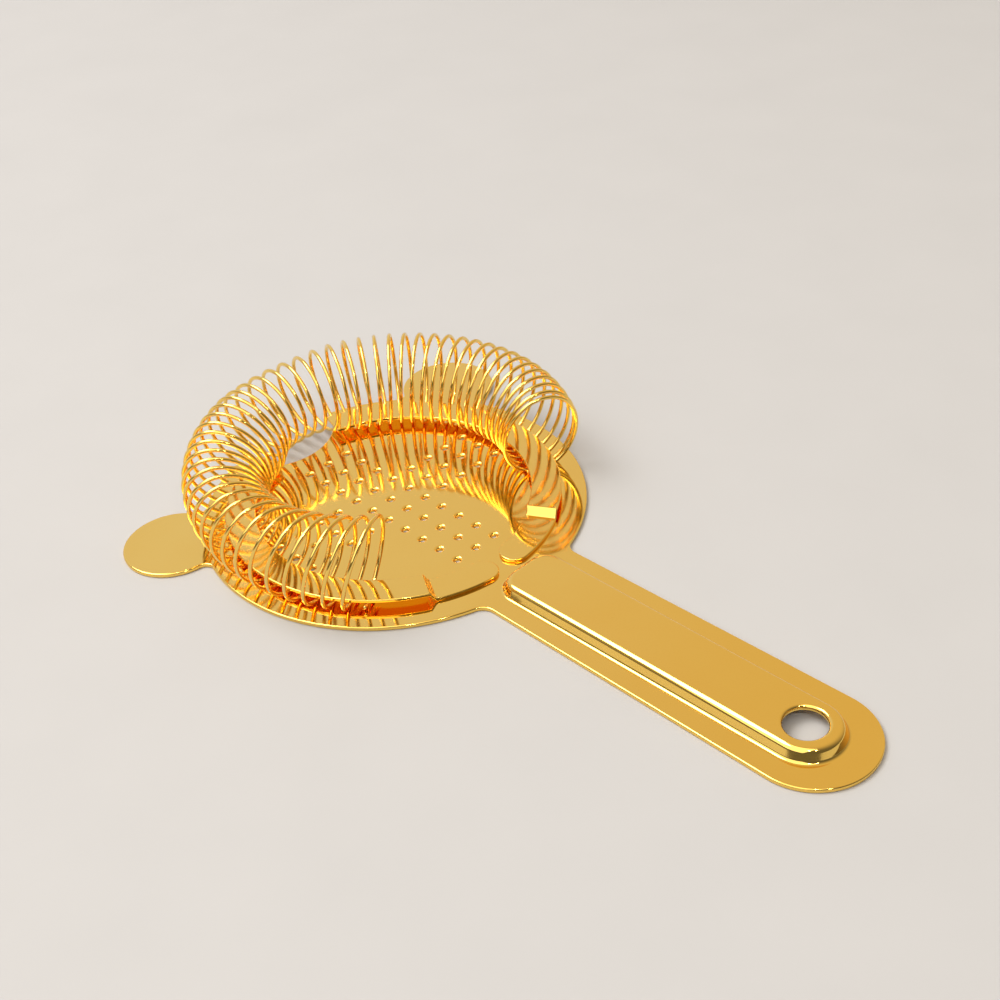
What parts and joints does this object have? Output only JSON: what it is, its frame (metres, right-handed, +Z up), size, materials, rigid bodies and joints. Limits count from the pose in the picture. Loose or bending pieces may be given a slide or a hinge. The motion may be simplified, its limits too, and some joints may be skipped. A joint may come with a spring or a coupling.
{
  "type": "hawthorne strainer",
  "caption": "Flat-handled cocktail strainer: a perforated disc with side ears and a rim notch, and a coil spring held round its edge by raised guides.",
  "frame": {"origin": "under the middle of the whole object, on the surface it lies on", "axes": "+X from the disc to the handle's end, +Y to the left ear, +Z up through the spring"},
  "size_m": [0.168, 0.104, 0.0227],
  "materials": {
    "plate_gold": "stainless sheet, mirror polished and gold plated",
    "guide_gold": "stainless strip, mirror polished and gold plated",
    "wire_gold": "drawn spring wire, bright and gold plated"
  },
  "bodies": {
    "strainer": {"strainer_plate": "plate_gold", "left_spring_guide": "guide_gold", "right_spring_guide": "guide_gold"},
    "spring": {"coil_spring": "wire_gold"}
  },
  "joints": [
    {"name": "spring_slide", "type": "hinge", "parent": "strainer", "child": "spring", "pos_m": [-0.03963, 0, 0], "axis": [0, 0, 1], "range_deg": [-24, 15]}
  ]
}
